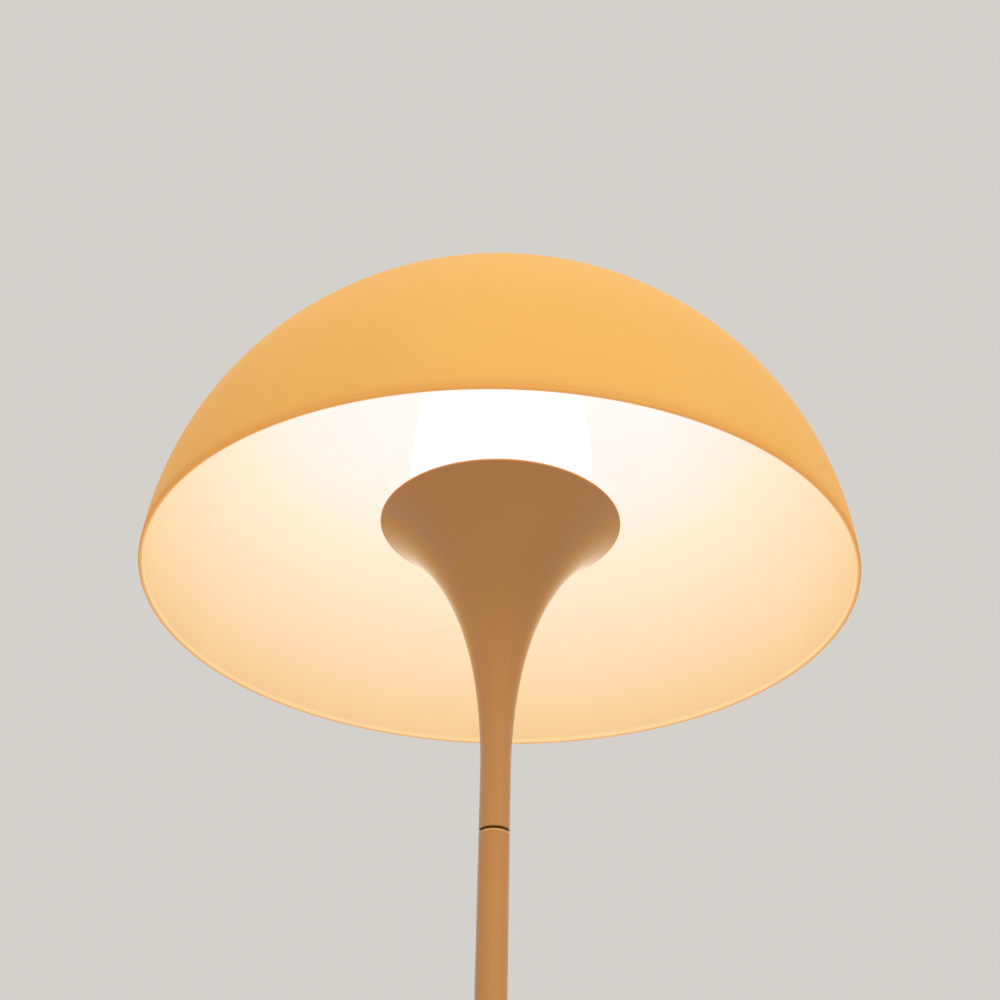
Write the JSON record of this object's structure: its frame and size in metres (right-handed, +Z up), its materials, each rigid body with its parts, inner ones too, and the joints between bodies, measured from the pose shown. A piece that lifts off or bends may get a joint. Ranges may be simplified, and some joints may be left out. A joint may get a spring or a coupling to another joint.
{
  "type": "floor lamp",
  "caption": "Floor lamp with a domed opal shade on an opal diffuser, a trumpet-shaped neck, a round pole and a flared foot with a push switch.",
  "frame": {"origin": "centre of the foot's underside, on the floor", "axes": "+Z up along the lamp's axis, -Y to the front, where the foot switch is, +Y to the cord inlet"},
  "size_m": [0.4993, 0.4992, 1.305],
  "materials": {
    "opal_shade": "glossy opal acrylic",
    "opal_diffuser": "satin opal acrylic",
    "white_paint": "glossy white lacquer",
    "shadow_paint": "satin grey",
    "clear_silicone": "matt silicone",
    "zinc_steel": "bright zinc",
    "white_moulding": "satin moulded",
    "cast_iron": "rough casting",
    "plate_steel": "black powder coat",
    "black_rubber": "matt",
    "white_rubber": "matt",
    "white_sheath": "satin sheath",
    "holder_plastic": "moulded thermoset",
    "ceramic": "unglazed porcelain",
    "brass": "bright brass",
    "bulb_metal": "bright",
    "bulb_black": "black glass bead",
    "bulb_plastic": "glossy",
    "bulb_board": "white solder mask",
    "bulb_opal": "satin opal",
    "switch_chrome": "polished",
    "switch_plastic": "glossy moulded",
    "black_plastic": "moulded",
    "spring_steel": "bright wire"
  },
  "bodies": {
    "root": {"ballast": "cast_iron", "base_pad": "black_rubber", "base_plate": "plate_steel", "bridge": "zinc_steel", "cable_grommet": "white_rubber", "diffuser_gasket": "clear_silicone", "foot_shell": "white_paint", "foot_spacer": "zinc_steel", "holder_body": "holder_plastic", "holder_cap": "holder_plastic", "holder_contact": "brass", "holder_core": "ceramic", "holder_screws": "zinc_steel", "holder_shell": "brass", "lamp_lead": "white_sheath", "lower_coupler": "shadow_paint", "lower_nut": "zinc_steel", "lower_washer": "zinc_steel", "plate_screws": "zinc_steel", "pole_tube": "white_paint", "seat_ring": "white_moulding", "switch_bezel": "switch_chrome", "switch_lead": "white_sheath", "switch_module": "black_plastic", "switch_nut": "black_plastic", "switch_spring": "spring_steel", "terminal_block": "white_moulding", "terminal_screws": "zinc_steel", "tie_tube": "zinc_steel", "trumpet": "white_paint", "upper_coupler": "shadow_paint", "upper_nut": "zinc_steel", "upper_washer": "zinc_steel"},
    "diffuser": {"diffuser": "opal_diffuser", "shade_carrier": "opal_diffuser", "carrier_screw": "zinc_steel", "carrier_washer": "zinc_steel", "carrier_nut": "zinc_steel", "shade_pad": "clear_silicone"},
    "shade": {"shade": "opal_shade"},
    "bulb_contact": {"bulb_contact": "bulb_metal"},
    "bulb": {"bulb_insulator": "bulb_black", "bulb_cap": "bulb_metal", "bulb_housing": "bulb_plastic", "bulb_board": "bulb_board", "bulb_globe": "bulb_opal"},
    "switch_button": {"switch_button": "switch_plastic"}
  },
  "joints": [
    {"name": "diffuser_lift", "type": "slide", "parent": "root", "child": "diffuser", "axis": [0, 0, 1], "range_m": [0, 0.16]},
    {"name": "shade_lift", "type": "slide", "parent": "diffuser", "child": "shade", "axis": [0, 0, 1], "range_m": [0, 0.25]},
    {"name": "bulb_rise", "type": "slide", "parent": "root", "child": "bulb_contact", "axis": [0, 0, 1], "range_m": [0, 0.01814]},
    {"name": "bulb_turn", "type": "hinge", "parent": "bulb_contact", "child": "bulb", "pos_m": [0, 0, 1.0899], "axis": [0, 0, 1], "range_deg": [0, 1800]},
    {"name": "switch_press", "type": "slide", "parent": "root", "child": "switch_button", "axis": [0, 0.388, -0.9217], "range_m": [0, 0.0025], "stiffness_N_per_m": 900, "springref_m": -0.002, "deforming": ["switch_spring"]}
  ],
  "couplings": [
    {"joint": "bulb_rise", "follows": "bulb_turn", "m_per_rad": 0.00057741}
  ]
}
